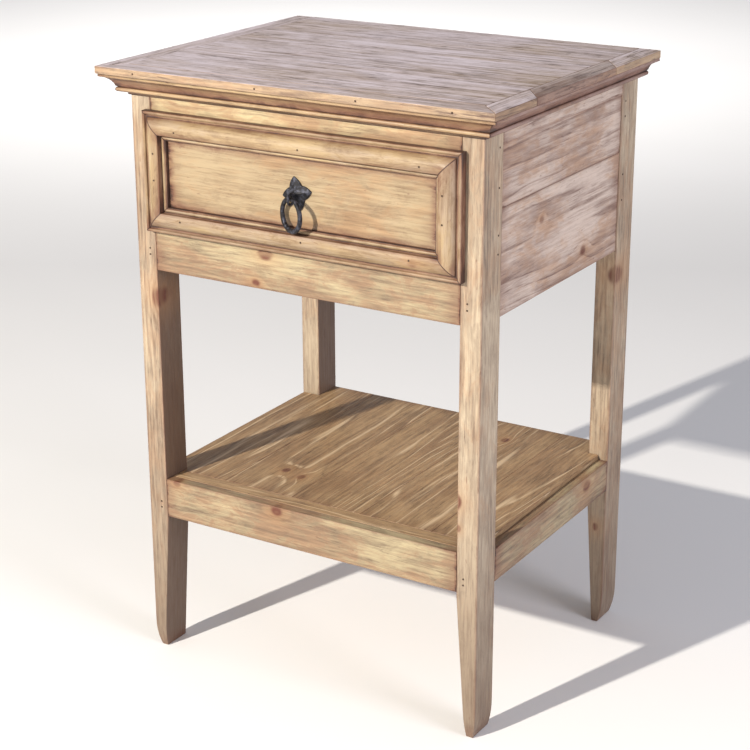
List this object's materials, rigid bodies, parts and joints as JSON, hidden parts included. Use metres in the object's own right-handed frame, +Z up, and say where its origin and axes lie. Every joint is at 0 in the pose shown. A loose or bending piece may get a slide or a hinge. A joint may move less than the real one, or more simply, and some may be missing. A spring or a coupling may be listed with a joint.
{
  "type": "side table with drawer",
  "caption": "Rustic pine side table with a moulded top, a panelled drawer on a forged ring pull, tapered legs and a low slatted shelf.",
  "frame": {"origin": "on the floor, under the middle of the table top's outline", "axes": "+Z up, +X to the right of someone who faces the drawer, -Y out of the front, so the drawer opens along -Y"},
  "size_m": [0.5104, 0.4146, 0.737],
  "materials": {
    "waxed_pine": "waxed, with dark glaze in the grooves",
    "washed_pine": "grey-lavender wash, worn",
    "shelf_pine": "waxed, open grain",
    "raw_pine": "unfinished",
    "forged_iron": "hammered, black",
    "nail_iron": "rusted"
  },
  "bodies": {
    "table": {"back_board": "raw_pine", "crown_front": "waxed_pine", "crown_left": "waxed_pine", "crown_right": "waxed_pine", "drawer_guide_left": "raw_pine", "drawer_guide_right": "raw_pine", "drawer_kicker_left": "raw_pine", "drawer_kicker_right": "raw_pine", "drawer_rail": "waxed_pine", "drawer_runner_left": "raw_pine", "drawer_runner_right": "raw_pine", "edge_nails": "nail_iron", "frieze_rail": "waxed_pine", "leg_front_left": "waxed_pine", "leg_front_right": "waxed_pine", "leg_nails_front": "nail_iron", "leg_nails_side": "nail_iron", "leg_rear_left": "waxed_pine", "leg_rear_right": "waxed_pine", "shelf_board_1": "shelf_pine", "shelf_board_2": "shelf_pine", "shelf_board_3": "shelf_pine", "shelf_board_4": "shelf_pine", "shelf_board_5": "shelf_pine", "shelf_cleat_front": "raw_pine", "shelf_cleat_right": "raw_pine", "shelf_front_strip": "shelf_pine", "shelf_rail_front": "shelf_pine", "shelf_rail_left": "shelf_pine", "shelf_rail_rear": "shelf_pine", "shelf_rail_right": "shelf_pine", "side_board_lower_left": "waxed_pine", "side_board_lower_right": "waxed_pine", "side_board_upper_left": "waxed_pine", "side_board_upper_right": "waxed_pine", "side_strip_left": "waxed_pine", "side_strip_right": "waxed_pine", "top_edge_front": "washed_pine", "top_edge_left": "washed_pine", "top_edge_right_front": "washed_pine", "top_edge_right_middle": "washed_pine", "top_edge_right_rear": "washed_pine", "top_plank_1": "washed_pine", "top_plank_2": "washed_pine", "top_plank_3": "washed_pine", "top_plank_4": "washed_pine"},
    "drawer": {"drawer_back": "raw_pine", "drawer_bottom": "raw_pine", "drawer_box_front": "raw_pine", "drawer_moulding_bottom": "waxed_pine", "drawer_moulding_left": "waxed_pine", "drawer_moulding_right": "waxed_pine", "drawer_moulding_top": "waxed_pine", "drawer_nails": "nail_iron", "drawer_panel": "waxed_pine", "drawer_side_left": "raw_pine", "drawer_side_right": "raw_pine", "pull_eye": "forged_iron", "pull_plate": "forged_iron"},
    "ring": {"pull_ring": "forged_iron"}
  },
  "joints": [
    {"name": "drawer_slide", "type": "slide", "parent": "table", "child": "drawer", "axis": [0, -1, 0], "range_m": [0, 0.26]},
    {"name": "ring_hinge", "type": "hinge", "parent": "drawer", "child": "ring", "pos_m": [0, -0.1945, 0.613], "axis": [-0.9135, 0.4067, 0], "range_deg": [-3, 100]}
  ]
}
